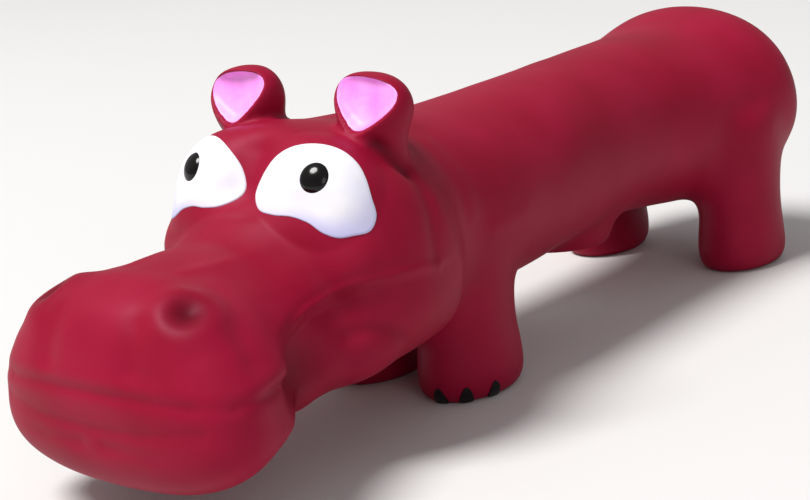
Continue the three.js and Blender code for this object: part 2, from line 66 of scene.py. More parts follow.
# A bell, 1 at no distance, that fades over the width.
def bell(distance, width):
    return np.exp(-((distance / width) ** 2))


def unit(vectors):
    return vectors / np.maximum(np.linalg.norm(vectors, axis=-1, keepdims=True), 1e-9)


# A smooth curve through table rows: a cubic between each two rows, with slopes from the rows beside them.
def through(rows, t):
    table = np.array(rows, float)
    padded = np.vstack([2 * table[0] - table[1], table, 2 * table[-1] - table[-2]])
    place = np.clip(t, 0, 1) * (len(table) - 1)
    step = np.minimum(place.astype(int), len(table) - 2)
    share = (place - step)[:, None]
    before, here, there, after = (padded[step + k] for k in range(4))
    slopeHere = 0.5 * (there - before)
    slopeThere = 0.5 * (after - here)
    cubic = (2 * here - 2 * there + slopeHere + slopeThere) * share**3
    square = (3 * there - 3 * here - 2 * slopeHere - slopeThere) * share**2
    return cubic + square + slopeHere * share + here


# Nearest distance to a line of points, and the height above that nearest place.
def toLine(points, line):
    nearest = np.full(len(points), 1e9)
    above = np.zeros(len(points))
    for a, b in zip(np.array(line[:-1], float), np.array(line[1:], float)):
        run = b - a
        share = np.clip((points - a) @ run / (run @ run), 0, 1)
        offset = points - a - share[:, None] * run
        distance = np.linalg.norm(offset, axis=1)
        closer = distance < nearest
        nearest = np.where(closer, distance, nearest)
        above = np.where(closer, offset[:, 2], above)
    return nearest, above


# Smooth lumps from random values on a lattice, blended between its corners, from -1 to 1.
def lumps(points, size, seed):
    cells = 32
    lattice = np.random.default_rng(seed).uniform(-1, 1, (cells, cells, cells))
    place = points / size + cells / 2
    cell = np.floor(place).astype(int)
    share = smoothStep(place - cell)
    total = np.zeros(len(points))
    for corner in np.ndindex(2, 2, 2):
        weight = np.prod(np.where(corner, share, 1 - share), axis=1)
        i, j, k = ((cell + corner) % cells).T
        total += weight * lattice[i, j, k]
    return total


# Meshes: quads, and caps of any number of corners.
def makeObject(name, points, faces, caps=()):
    mesh = bpy.data.meshes.new(name)
    corners = np.concatenate([np.ravel(faces), *caps]).astype(np.int32)
    sizes = np.array([4] * len(faces) + [len(cap) for cap in caps])
    starts = np.concatenate([[0], np.cumsum(sizes)[:-1]]).astype(np.int32)
    mesh.vertices.add(len(points))
    mesh.vertices.foreach_set("co", (np.asarray(points, float) * mm).astype(np.float32).ravel())
    mesh.loops.add(len(corners))
    mesh.loops.foreach_set("vertex_index", corners)
    mesh.polygons.add(len(sizes))
    mesh.polygons.foreach_set("loop_start", starts)
    mesh.polygons.foreach_set("use_smooth", np.ones(len(sizes), bool))
    mesh.update(calc_edges=True)
    mesh.validate()
    made = bpy.data.objects.new(name, mesh)
    bpy.context.scene.collection.objects.link(made)
    return made


# Quads of a grid of rows closed round each row.
def tubeFaces(rows, columns, first=0):
    index = first + np.arange(rows * columns).reshape(rows, columns)
    across = np.roll(index, -1, 1)
    return np.stack([index[:-1], across[:-1], across[1:], index[1:]], -1).reshape(-1, 4)


# Caps that close the first and the last row of such a grid.
def poles(rows, columns):
    last = (rows - 1) * columns
    return [np.arange(columns)[::-1], np.arange(last, last + columns)]


def wholeTurn(columns):
    return np.linspace(0, 2 * np.pi, columns, endpoint=False)[None]


# Ovals about an upright axis: x goes as the cosine and y as the sine of a turn, times each ring's half sizes.
def turnedGrid(x, y, halfWidth, halfDepth, height, columns):
    turn = wholeTurn(columns)
    across = x + halfWidth[:, None] * np.cos(turn)
    along = y + halfDepth[:, None] * np.sin(turn)
    return np.stack([across, along, height[:, None] + 0 * turn], -1)


def readMesh(mesh):
    points = np.empty(len(mesh.vertices) * 3, np.float32)
    mesh.vertices.foreach_get("co", points)
    faces = np.empty(len(mesh.loops), np.int32)
    mesh.loops.foreach_get("vertex_index", faces)
    edges = np.empty(len(mesh.edges) * 2, np.int32)
    mesh.edges.foreach_get("vertices", edges)
    return points.reshape(-1, 3).astype(float) / mm, faces.reshape(-1, 4), edges.reshape(-1, 2)


# Each point moves a share of the way to the mean of its neighbours, round after round.
def relaxed(points, edges, rounds, share):
    a, b = edges.T
    count = np.maximum(np.bincount(edges.ravel(), minlength=len(points)), 1)[:, None]
    share = np.broadcast_to(share, len(points))[:, None]
    for _ in range(rounds):
        sums = [
            np.bincount(a, points[b, k], len(points)) + np.bincount(b, points[a, k], len(points))
            for k in range(points.shape[1])
        ]
        points = points + share * (np.stack(sums, 1) / count - points)
    return points


# A point's normal is the sum of its faces' normals, each as long as twice the face's area.
def normalsOf(points, faces):
    corner = points[faces]
    cross = np.cross(corner[:, 2] - corner[:, 0], corner[:, 3] - corner[:, 1])
    total = np.zeros_like(points)
    for k in range(4):
        for axis in range(3):
            total[:, axis] += np.bincount(faces[:, k], cross[:, axis], len(points))
    return unit(total)


# Trunk: oval rings from the rump to the nose, as y, half width, back, belly and widest heights,
# upper and lower squareness, and how far the upper half leans back.
trunk = {
    "rows": 260,
    "columns": 144,
    "rings": [
        (116, 0, 39.5, 39.5, 39.5, 2.1, 2, 0),
        (115, 12.4, 49.5, 29.5, 39.5, 2.1, 2, 0),
        (110.3, 24.2, 59, 20, 39.5, 2.1, 2, 0),
        (100.4, 31, 64.5, 14.5, 39.5, 2.1, 2, 0),
        (80.5, 27.5, 62.1, 16.5, 39, 2.1, 2, 0),
        (56.4, 23, 61.9, 19.5, 39, 2.1, 2, 0),
        (36.5, 22.5, 61.5, 20, 39, 2.1, 2, 0),
        (6.7, 24, 60.7, 17.8, 39, 2.1, 2, 0),
        (-13.2, 25, 61, 16.5, 39, 2.1, 2, 0),
        (-30, 24.5, 64, 14.5, 39, 2.1, 2, 0),
        (-40.7, 30.2, 64.5, 16.5, 35, 2.3, 2.6, 0),
        (-52.5, 32.2, 66.5, 15.5, 35, 2.3, 2.6, 0),
        (-61.4, 30.8, 65.5, 14.5, 35, 2.3, 2.6, 0),
        (-66.6, 27.4, 57.8, 13, 35, 2.3, 2.6, 0),
        (-71, 23.5, 49, 12.5, 27, 2.25, 2.4, 0),
        (-80, 24.5, 46.5, 12.5, 25, 2.25, 2.4, 0.4),
        (-88.5, 28.5, 46.5, 17, 20.5, 2.25, 2.4, 1.4),
        (-97.1, 32, 47, 11, 20.5, 2.25, 2.4, 2.6),
        (-106.1, 33, 47, 7.5, 20.5, 2.25, 2.4, 2.8),
        (-112.4, 27.7, 42.8, 9.6, 20.5, 2.25, 2.4, 1.4),
        (-115.5, 14.9, 32.4, 14.6, 20.5, 2.25, 2.4, 0.2),
        (-116, 0, 20.5, 20.5, 20.5, 2.25, 2.4, 0),
    ],
}


# Each ring is a rounded oval: x goes as cos to the power 2/n, the rise as sin to the power 2/n.
def trunkGrid():
    ring = through(trunk["rings"], np.linspace(0, 1, trunk["rows"]))
    y, half, back, belly, widest, upper, lower, lean = (v[:, None] for v in ring.T)
    turn = wholeTurn(trunk["columns"])
    power = 2 / np.where(np.sin(turn) >= 0, upper, lower)
    rise = np.sign(np.sin(turn)) * np.abs(np.sin(turn)) ** power
    x = np.maximum(half, 0) * np.sign(np.cos(turn)) * np.abs(np.cos(turn)) ** power
    reach = np.where(rise >= 0, back - widest, widest - belly)
    return np.stack([x, y + lean * np.maximum(rise, 0), widest + reach * rise], -1)


# Legs: oval columns, as height and a share of the column's size there.
legs = {
    "leg_front_left": {"x": 13.3, "y": -19.6},
    "leg_front_right": {"x": -13.3, "y": -19.6},
    "leg_rear_left": {"x": 21, "y": 88},
    "leg_rear_right": {"x": -21, "y": 88},
}
legForm = {
    "rows": 120,
    "columns": 72,
    "halfWidth": 10.1,
    "halfDepth": 13.4,
    "rings": [
        (0, 0),
        (0, 0.8),
        (0.5, 0.9),
        (2.2, 1),
        (5.5, 1.03),
        (10, 1),
        (16, 0.97),
        (26, 1),
        (40, 1),
        (40, 0),
    ],
}


def legGrid(leg):
    height, share = np.maximum(through(legForm["rings"], np.linspace(0, 1, legForm["rows"])), 0).T
    halfWidth = legForm["halfWidth"] * share
    halfDepth = legForm["halfDepth"] * share
    return turnedGrid(leg["x"], leg["y"], halfWidth, halfDepth, height, legForm["columns"])


# Distance from a leg's axis, as a share of the leg's half sizes.
def legReach(points, leg):
    across = (points[:, 0] - leg["x"]) / legForm["halfWidth"]
    along = (points[:, 1] - leg["y"]) / legForm["halfDepth"]
    return np.hypot(across, along)


# Ears: a stalk that widens to a leaf, as height along it, half width and half depth.
ears = {"ear_left": 1, "ear_right": -1}
earForm = {
    "rows": 100,
    "columns": 72,
    "root": (16.2, -47.8, 57),
    "tilt": 6,
    "rings": [
        (0, 0, 0),
        (0, 7, 6.4),
        (4, 7, 6.4),
        (8, 7.7, 6.5),
        (11, 8.9, 6.6),
        (14, 9.2, 6),
        (16.8, 7.8, 4.8),
        (18.6, 4.8, 3),
        (19.3, 0, 0),
    ],
}


def earAxes(side):
    tilt = math.radians(earForm["tilt"])
    up = np.array([side * math.sin(tilt), 0, math.cos(tilt)])
    across = np.array([math.cos(tilt), 0, -side * math.sin(tilt)])
    root = np.array(earForm["root"]) * (side, 1, 1)
    return root, across, up


# Each ring is an oval square to the ear's axis: across goes as the cosine and along Y as the sine of a turn.
def earGrid(side):
    root, across, up = earAxes(side)
    ring = through(earForm["rings"], np.linspace(0, 1, earForm["rows"]))
    height, half, depth = (v[:, None] for v in ring.T)
    turn = wholeTurn(earForm["columns"])
    a = np.maximum(half, 0) * np.cos(turn)
    b = np.maximum(depth, 0) * np.sin(turn)
    points = root + a[..., None] * across + (height + 0 * turn)[..., None] * up
    return points + b[..., None] * np.array([0, 1, 0])


# Height along an ear's axis and distance from it.
def alongEar(points, side):
    root, across, up = earAxes(side)
    height = (points - root) @ up
    return height, np.linalg.norm(points - root - height[:, None] * up, axis=1)


# Collar round the squeaker in the belly: a boss with a lip that hides the flange, as radius and height.
collar = {
    "rows": 90,
    "columns": 96,
    "y": 36,
    "bore": 7.7,
    "below": 30,
    "rings": [
        (0, 18.4),
        (9.6, 18.4),
        (10, 17.6),
        (10.6, 17),
        (11.6, 17.1),
        (12.6, 18.4),
        (13.4, 21),
        (13.4, 25),
        (0, 25),
    ],
}


def collarGrid():
    radius, height = through(collar["rings"], np.linspace(0, 1, collar["rows"])).T
    radius = np.maximum(radius, 0)
    return turnedGrid(0, collar["y"], radius, radius, height, collar["columns"])


# Distance from the squeaker's axis.
def collarReach(points):
    return np.hypot(points[:, 0], points[:, 1] - collar["y"])


# The skin as one moulding: the forms fused, the joins eased into fillets, then the moulded relief.
voxel = 0.6


def fusedSkin():
    grids = [trunkGrid()]
    grids += [legGrid(leg) for leg in legs.values()]
    grids += [earGrid(side) for side in ears.values()]
    grids += [collarGrid()]
    points = []
    faces = []
    first = 0
    for grid in grids:
        points.append(grid.reshape(-1, 3))
        faces.append(tubeFaces(*grid.shape[:2], first))
        first += grid.shape[0] * grid.shape[1]
    made = makeObject("fusing", np.vstack(points), np.vstack(faces))
    fuse = made.modifiers.new("fuse", "REMESH")
    fuse.mode = "VOXEL"
    fuse.voxel_size = voxel * mm
    solid = made.evaluated_get(bpy.context.evaluated_depsgraph_get())
    mesh = bpy.data.meshes.new_from_object(solid)
    found = readMesh(mesh)
    bpy.data.objects.remove(made)
    bpy.data.meshes.remove(mesh)
    return found


skin, skinFaces, skinEdges = fusedSkin()
print("fused skin", len(skin), "points")

# Where the joins are eased: each pair is where the easing starts and where it is full.
legEase = {"near": (1.6, 1.1), "bottom": (9, 16), "top": (46, 36)}
collarEase = {"inside": (11.5, 13.5), "outside": (21, 17), "share": 0.5}
earEase = {"near": (15, 10), "height": (9.5, 5.5), "above": 50}
foreheadEase = {"y": -71.5, "near": (10, 4), "bottom": (36, 42), "top": (62, 54)}
# Rounds of easing, and the share of the way that a point moves in each.
easing = {"all": (6, 0.5), "legs": (110, 0.8), "ears": (7, 0.7), "forehead": (60, 0.8), "relief": (2, 0.5)}


def legJoins(points):
    zone = np.zeros(len(points))
    height = points[:, 2]
    for leg in legs.values():
        near = ramp(legReach(points, leg), *legEase["near"])
        zone = np.maximum(zone, near * ramp(height, *legEase["bottom"]) * ramp(height, *legEase["top"]))
    boss = collarReach(points)
    ring = ramp(boss, *collarEase["inside"]) * ramp(boss, *collarEase["outside"]) * (height < collar["below"])
    return np.maximum(zone, collarEase["share"] * ring)


def earJoins(points):
    zone = np.zeros(len(points))
    for side in ears.values():
        height, reach = alongEar(points, side)
        near = ramp(reach, *earEase["near"]) * (points[:, 2] > earEase["above"])
        zone = np.maximum(zone, near * ramp(height, *earEase["height"]))
    return zone


def foreheadFoot(points):
    along = ramp(np.abs(points[:, 1] - foreheadEase["y"]), *foreheadEase["near"])
    height = points[:, 2]
    return along * ramp(height, *foreheadEase["bottom"]) * ramp(height, *foreheadEase["top"])


def eased(points, name, zone=1):
    rounds, share = easing[name]
    return relaxed(points, skinEdges, rounds, share * zone)


skin = eased(skin, "all")
skin = eased(skin, "legs", legJoins(skin))
skin = eased(skin, "ears", earJoins(skin))
skin = eased(skin, "forehead", foreheadFoot(skin))
skin[:, 2] = np.maximum(skin[:, 2], 0)

# Moulded relief of the head, given on the toy's left and mirrored. Shade is painted shade: how far the skin is
# darkened there, in pits, creases and recesses.
eyes = {"centre": (16.4, -65.4, 57.2), "reach": 13.5, "rise": 2.3, "roundness": 1.2}
swells = {
    "bridge": {"line": [(0, -66, 57), (0, -72, 49.5), (0, -82, 47)], "reach": 17, "rise": 1.6},
    "brow": {
        "line": [(0, -72.5, 49.5), (9, -72.5, 48.4), (17, -71, 46), (23, -67.5, 42)],
        "reach": 9,
        "rise": 1.9,
    },
}
nostrils = {
    "centre": (18.6, -105.2, 43.4),
    "reach": 11,
    "rise": 1.2,
    "rim": 0.25,
    "rimReach": 5.4,
    "rimWidth": 2.5,
    "pit": 3.2,
    "depth": 1.8,
    "dark": 0.85,
    "darkWidth": 4,
}
mouth = {
    "line": [
        (0, -116, 29.2),
        (12, -115.2, 29),
        (24, -112.5, 28.2),
        (30.5, -107.6, 27.6),
        (32.2, -100, 28.2),
        (30.6, -93, 29),
    ],
    "depth": 0.36,
    "width": 0.95,
    "lip": 0.22,
    "lipReach": 2.2,
    "lipWidth": 1.6,
    "dark": 0.18,
}
# The upper lip's edge from the muzzle's corner up to the cheek, with the lower jaw set in below it.
# The step and the groove above it fade by a share towards the back, and a fine ridge follows the whole line.
lipEdge = {
    "line": [
        (30.2, -93.4, 28.8),
        (27.4, -90, 31.2),
        (25.4, -86.8, 32.8),
        (23.4, -82.6, 34.3),
        (22, -78, 35.3),
        (21.5, -73.2, 35.8),
        (22.6, -70, 36.9),
        (25.3, -68, 38.1),
        (27.8, -65.8, 38.7),
        (29.8, -63.2, 38.9),
        (31.3, -59.2, 39),
        (32, -54.4, 38.8),
        (32, -49.6, 37.8),
    ],
    "proud": 0.7,
    "set": 1.5,
    "reach": 7,
    "step": (-1, 1),
    "fade": (-92, -56),
    "fadeShare": 0.75,
    "ridge": 0.5,
    "ridgeWidth": 0.9,
    "groove": 0.25,
    "grooveAbove": 1.9,
    "grooveWidth": 0.9,
    "grooveShade": 0.08,
    "dark": 0.12,
    "darkWidth": 1.6,
}
recess = {"centre": (26.5, -84.5, 25.5), "reach": 12, "depth": 3.6, "dark": 0.5}
jowl = {"centre": (25.5, -67, 21.5), "reach": 12, "rise": 1.6}
# Soft folds and lines. The pocket under the ear runs on down behind the cheek, and the neck's folds follow.
folds = {
    "betweenEyes": {
        "lines": [[(0, -64, 62), (0, -66, 58.5), (0, -68.5, 54.5)]],
        "rise": -2.4,
        "width": 5,
    },
    "jowl": {
        "lines": [
            [(24.4, -70, 29), (26.8, -66.7, 29.6), (28.8, -63.6, 28.6), (30.4, -60.6, 26.4), (30.8, -59, 24)],
        ],
        "rise": -0.5,
        "width": 1.5,
        "dark": 0.2,
        "darkWidth": 1.3,
    },
    "bridge": {
        "lines": [
            [
                (7.4, -94.3, 46.7),
                (8.7, -87.7, 46.3),
                (9.4, -82.9, 46.1),
                (10.4, -78.4, 46.3),
                (11.8, -75.7, 46.9),
            ],
        ],
        "rise": 0.3,
        "width": 1.8,
    },
    "chin": {
        "lines": [
            [(0, -116.2, 22), (14, -115.2, 22.4), (26, -112, 23.4)],
            [(3, -115.6, 18.8), (15, -114.4, 18.6), (23, -112, 19)],
        ],
        "rise": -0.4,
        "width": 1.2,
        "dark": 0.15,
        "darkWidth": 1.2,
    },
    "muzzle": {
        "lines": [[(11, -111, 41), (11.5, -113.6, 34)], [(27, -100.5, 40.5), (29.4, -101, 34.5)]],
        "rise": -0.7,
        "width": 3.2,
    },
    "pocket": {
        "lines": [[(21.5, -53, 62.6), (23.8, -51, 59.9), (25.4, -48, 56.4)]],
        "rise": -0.9,
        "width": 1.6,
        "dark": 0.7,
        "darkWidth": 1.5,
    },
    "cheek": {
        "lines": [
            [
                (25.4, -48, 56.4),
                (27, -47.4, 53.6),
                (29.3, -48, 49.6),
                (31.4, -49.6, 45.2),
                (32.6, -50.6, 39.6),
            ],
        ],
        "rise": -0.45,
        "width": 2,
        "dark": 0.15,
        "darkWidth": 1.6,
    },
    "neck": {
        "lines": [
            [(28.4, -44.4, 49.8), (29.9, -44, 45.7), (30.9, -43, 40.4), (30, -41, 35)],
            [(17, -31, 58), (19.4, -30.3, 55), (21.4, -28.6, 51.3), (23, -27.4, 47.5), (24, -27.6, 42.5)],
            [(24.4, -20.5, 37.8), (24.7, -15, 38), (24.8, -10, 38.4)],
        ],
        "rise": 0.35,
        "width": 2.4,
    },
}
# Unevenness of the stuffed skin: size of the lumps, their height and the seed.
unevenness = [(17, 0.22, 3), (8, 0.1, 5)]


# How far each point moves along its normal, and how much painted shade it takes.
def relief(points):
    side = points * (0, 1, 1) + np.abs(points) * (1, 0, 0)
    lift = np.zeros(len(points))
    dark = np.zeros(len(points))

    def distanceTo(form):
        return np.linalg.norm(side - form["centre"], axis=1)

    # Eyes and swells: humps that end at their reach.
    eye = distanceTo(eyes) / eyes["reach"]
    lift += eyes["rise"] * np.clip(1 - eye**2, 0, 1) ** eyes["roundness"]
    for swell in swells.values():
        lift += swell["rise"] * mound(toLine(side, swell["line"])[0] / swell["reach"])
    lift += jowl["rise"] * mound(distanceTo(jowl) / jowl["reach"])

    # Nostrils: a mound with a rim round a soft pit, with painted shade in the pit.
    away = distanceTo(nostrils)
    lift += nostrils["rise"] * mound(away / nostrils["reach"])
    lift += nostrils["rim"] * bell(away - nostrils["rimReach"], nostrils["rimWidth"])
    lift -= nostrils["depth"] * bell(away, nostrils["pit"])
    dark += nostrils["dark"] * bell(away, nostrils["darkWidth"])

    # Mouth: a crease between two soft lips, with painted shade along the crease.
    near = toLine(side, mouth["line"])[0]
    crease = bell(near, mouth["width"])
    lift += mouth["lip"] * bell(near - mouth["lipReach"], mouth["lipWidth"]) - mouth["depth"] * crease
    dark += mouth["dark"] * crease

    # Lip edge: proud above its line and set in below it, with a fine ridge along it and a groove above. Painted
    # shade darkens the groove and the skin just below the line.
    near, above = toLine(side, lipEdge["line"])
    fade = bell(near, lipEdge["reach"]) * (1 - lipEdge["fadeShare"] * ramp(side[:, 1], *lipEdge["fade"]))
    step = ramp(above, *lipEdge["step"])
    lift += fade * (lipEdge["proud"] * step - lipEdge["set"] * (1 - step))
    lift += lipEdge["ridge"] * bell(near, lipEdge["ridgeWidth"])
    groove = fade * step * bell(near - lipEdge["grooveAbove"], lipEdge["grooveWidth"])
    lift -= lipEdge["groove"] * groove
    dark += lipEdge["grooveShade"] * groove
    dark += lipEdge["dark"] * fade * bell(near, lipEdge["darkWidth"]) * (1 - step)
    # The recess under the lip edge: a hollow, darkened with painted shade.
    hollow = mound(distanceTo(recess) / recess["reach"])
    lift -= recess["depth"] * hollow
    dark += recess["dark"] * hollow

    # Folds and lines, with painted shade along some of them, then the lumps of the stuffing.
    for fold in folds.values():
        for line in fold["lines"]:
            near = toLine(side, line)[0]
            lift += fold["rise"] * bell(near, fold["width"])
            if "dark" in fold:
                dark += fold["dark"] * bell(near, fold["darkWidth"])
    for size, height, seed in unevenness:
        lift += height * lumps(points, size, seed)
    return lift, np.clip(dark, 0, 1)


lift, paintedShade = relief(skin)
skin = skin + lift[:, None] * normalsOf(skin, skinFaces)
skin = eased(skin, "relief")

# The cut face of each ear: a teardrop in the plane across the ear, dished and leaning back at the top.
# It takes the points that face forward, no further ahead of the ear than its depth.
earFace = {
    "middle": 13.4,
    "halfWidth": 7.6,
    "halfHeight": 5.5,
    "taper": 0.45,
    "front": 4.8,
    "lean": 0.3,
    "leanFrom": 6,
    "dish": 0.9,
    "rim": 0.9,
    "facing": (0.05, 0.3),
    "depth": (9, 7.5),
}


# Outline of the teardrop: an oval whose width grows with the height by the taper, so it is drawn in below.
def teardrop(count):
    t = np.linspace(0, 2 * np.pi, count, endpoint=False)
    across = earFace["halfWidth"] * np.sin(t) * (1 + earFace["taper"] * np.cos(t))
    return np.stack([across, earFace["halfHeight"] * np.cos(t)], -1)


# Distance from the teardrop's middle to its outline at an angle from straight up.
def teardropReach(angle):
    across, tall = teardrop(240).T
    return np.interp(angle, np.arctan2(across, tall), np.hypot(across, tall), period=2 * np.pi)


def cutEar(points, normals, side):
    root, across, up = earAxes(side)
    u = (points - root) @ across
    v = (points - root) @ up - earFace["middle"]
    edge = teardropReach(np.arctan2(u, v))
    reach = np.hypot(u, v)
    ahead = root[1] - points[:, 1]
    front = ramp(-normals[:, 1], *earFace["facing"]) * (ahead > 0) * ramp(ahead, *earFace["depth"])
    share = smoothStep((edge - reach) / earFace["rim"]) * front
    dished = earFace["dish"] * np.clip(1 - (reach / edge) ** 2, 0, 1)
    leaning = earFace["lean"] * (v + earFace["middle"] - earFace["leanFrom"])
    face = root[1] - earFace["front"] + leaning + dished
    moved = points.copy()
    moved[:, 1] += share * np.maximum(face - points[:, 1], 0)
    return moved


for side in ears.values():
    skin = cutEar(skin, normalsOf(skin, skinFaces), side)
skin[:, 2] = np.maximum(skin[:, 2], 0)
skinNormals = normalsOf(skin, skinFaces)
print("relief done")

# Looks: colour runs from low to high with a cloudy mottle, and to the painted shade tint where the crease
# attribute, which holds painted shade, is high.
# Scales are per metre, height is the depth of the grain in millimetres, and tint is the plain mean colour.
looks = {
    "latex": {
        "tint": (0.26, 0.004, 0.024),
        "roughness": 0.5,
        "specular": 0.15,
        "specularTint": (1, 0.6, 0.85),
        "mottleScale": 55,
        "grainScale": 2600,
        "height": 0.03,
        "low": (0.24, 0.0035, 0.021),
        "high": (0.285, 0.005, 0.03),
        # Painted shade in pits, creases and recesses.
        "paintedShadeTint": (0.07, 0.001, 0.005),
    },
    "eyePaint": {
        "tint": (0.8, 0.78, 0.84),
        "roughness": 0.4,
        "specular": 0.4,
        "mottleScale": 120,
        "grainScale": 2200,
        "height": 0.02,
        "low": (0.72, 0.71, 0.8),
        "high": (0.82, 0.81, 0.84),
        # Painted lilac shade at the lower rim of the eye whites.
        "paintedShadeTint": (0.46, 0.45, 0.72),
    },
    "earPaint": {
        "tint": (0.9, 0.3, 0.85),
        "roughness": 0.45,
        "specular": 0.4,
        "mottleScale": 140,
        "grainScale": 2200,
        "height": 0.02,
        "low": (0.84, 0.24, 0.78),
        "high": (0.95, 0.4, 0.92),
    },
    "pupilPaint": {
        "tint": (0.003, 0.002, 0.002),
        "roughness": 0.14,
        "specular": 0.3,
        "mottleScale": 260,
        "grainScale": 1500,
        "height": 0.004,
        "low": (0.002, 0.0015, 0.0015),
        "high": (0.006, 0.004, 0.004),
    },
    "nailPaint": {
        "tint": (0.006, 0.003, 0.004),
        "roughness": 0.4,
        "specular": 0.25,
        "mottleScale": 300,
        "grainScale": 2200,
        "height": 0.03,
        "low": (0.004, 0.002, 0.003),
        "high": (0.01, 0.005, 0.006),
    },
    "squeakerPlastic": {
        "tint": (0.78, 0.75, 0.68),
        "roughness": 0.38,
        "specular": 0.5,
        "mottleScale": 120,
        "grainScale": 1800,
        "height": 0.01,
        "low": (0.74, 0.71, 0.64),
        "high": (0.81, 0.78, 0.71),
    },
    "reedFilm": {
        "tint": (0.7, 0.6, 0.38),
        "roughness": 0.2,
        "specular": 0.5,
        "mottleScale": 150,
        "grainScale": 1200,
        "height": 0.004,
        "low": (0.67, 0.57, 0.35),
        "high": (0.73, 0.63, 0.41),
    },
    "fibre": {
        "tint": (0.84, 0.82, 0.76),
        "roughness": 0.9,
        "specular": 0.2,
        "mottleScale": 200,
        "grainScale": 900,
        "height": 0.6,
        "low": (0.76, 0.74, 0.68),
        "high": (0.9, 0.88, 0.83),
    },
}
# The part of the noise that runs from low to high, its detail, the grain's detail and the bump's strength.
surface = {"span": (0.35, 0.68), "mottleDetail": 4, "grainDetail": 2, "bump": 0.35}


# A fine uneven surface: cloudy mottle and a small grain, given as a factor and a bump normal.
def grainGroup():
    group = bpy.data.node_groups.new("rubberGrain", "ShaderNodeTree")
    face = group.interface
    for label in ("Mottle Scale", "Grain Scale", "Height"):
        face.new_socket(label, in_out="INPUT", socket_type="NodeSocketFloat")
    face.new_socket("Mottle", in_out="OUTPUT", socket_type="NodeSocketFloat")
    face.new_socket("Normal", in_out="OUTPUT", socket_type="NodeSocketVector")
    nodes, links = group.nodes, group.links
    given = nodes.new("NodeGroupInput")
    result = nodes.new("NodeGroupOutput")
    place = nodes.new("ShaderNodeTexCoord")
    mottle = nodes.new("ShaderNodeTexNoise")
    mottle.inputs["Detail"].default_value = surface["mottleDetail"]
    grain = nodes.new("ShaderNodeTexNoise")
    grain.inputs["Detail"].default_value = surface["grainDetail"]
    bump = nodes.new("ShaderNodeBump")
    bump.inputs["Strength"].default_value = surface["bump"]
    for texture, label in ((mottle, "Mottle Scale"), (grain, "Grain Scale")):
        links.new(place.outputs["Object"], texture.inputs["Vector"])
        links.new(given.outputs[label], texture.inputs["Scale"])
    links.new(given.outputs["Height"], bump.inputs["Distance"])
    links.new(grain.outputs["Fac"], bump.inputs["Height"])
    links.new(mottle.outputs["Fac"], result.inputs["Mottle"])
    links.new(bump.outputs["Normal"], result.inputs["Normal"])
    return group


grainNodes = grainGroup()


def newLook(name, values):
    look = bpy.data.materials.new(name)
    look.use_nodes = True
    nodes, links = look.node_tree.nodes, look.node_tree.links
    shader = nodes["Principled BSDF"]
    shader.inputs["Base Color"].default_value = (*values["tint"], 1)
    shader.inputs["Roughness"].default_value = values["roughness"]
    shader.inputs["Specular IOR Level"].default_value = values["specular"]
    if "specularTint" in values:
        shader.inputs["Specular Tint"].default_value = (*values["specularTint"], 1)
    grain = nodes.new("ShaderNodeGroup")
    grain.node_tree = grainNodes
    grain.inputs["Mottle Scale"].default_value = values["mottleScale"]
    grain.inputs["Grain Scale"].default_value = values["grainScale"]
    grain.inputs["Height"].default_value = values["height"] * mm
    links.new(grain.outputs["Normal"], shader.inputs["Normal"])
    mottle = nodes.new("ShaderNodeValToRGB")
    for stop, position, label in zip(mottle.color_ramp.elements, surface["span"], ("low", "high")):
        stop.position = position
        stop.color = (*values[label], 1)
    links.new(grain.outputs["Mottle"], mottle.inputs["Fac"])
    tint = mottle.outputs["Color"]
    # Painted shade: the colour goes to the shade tint as the crease attribute rises.
    if "paintedShadeTint" in values:
        crease = nodes.new("ShaderNodeAttribute")
        crease.attribute_name = "crease"
        mix = nodes.new("ShaderNodeMix")
        mix.data_type = "RGBA"
        mix.inputs["B"].default_value = (*values["paintedShadeTint"], 1)
        links.new(crease.outputs["Fac"], mix.inputs["Factor"])
        links.new(tint, mix.inputs["A"])
        tint = mix.outputs["Result"]
    links.new(tint, shader.inputs["Base Color"])
    return look


finishes = {name: newLook(name, values) for name, values in looks.items()}
print("looks done")


# A node's name as one word, such as legFrontLeft.
def oneWord(name):
    first, *rest = name.split("_")
    return first + "".join(word.title() for word in rest)


def finishPiece(piece, look):
    piece.data.materials.append(finishes[look])


# Painted shade, kept as the crease attribute that the looks darken by.
def addPaintedShade(piece, values):
    crease = piece.data.attributes.new("crease", "FLOAT", "POINT")
    crease.data.foreach_set("value", values.astype(np.float32))


# A piece's place is baked into its mesh.
def bending(piece):
    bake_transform(piece)


# Where the skin is split between bodies. The neck has three slanted lines, each given by its y at the throat
# and at the nape.
# The other pairs are where a bend starts and where it is full.
neckBend = {"heights": (16, 36), "start": (-34.5, -9), "middle": (-38.5, -24), "end": (-43, -38)}
legBend = {"height": (18, 6), "reach": (1.25, 1.05)}
earBend = {"height": 5.5, "slope": 0.4, "over": 4, "widest": 11}


def neckLine(name, points):
    throat, nape = neckBend[name]
    return throat + (nape - throat) * ramp(points[:, 2], *neckBend["heights"])


# How far a place goes with its leg: nothing at the top and out on the belly, all of the way at the foot.
def legWeight(points, leg):
    return ramp(points[:, 2], *legBend["height"]) * ramp(legReach(points, leg), *legBend["reach"])


# Above 0 on the ear, and 1 or more where it goes all of the way with it.
def earShare(points, side):
    height, reach = alongEar(points, side)
    share = (height - earBend["height"] - earBend["slope"] * reach) / earBend["over"]
    return np.where(reach > earBend["widest"], -1, share)


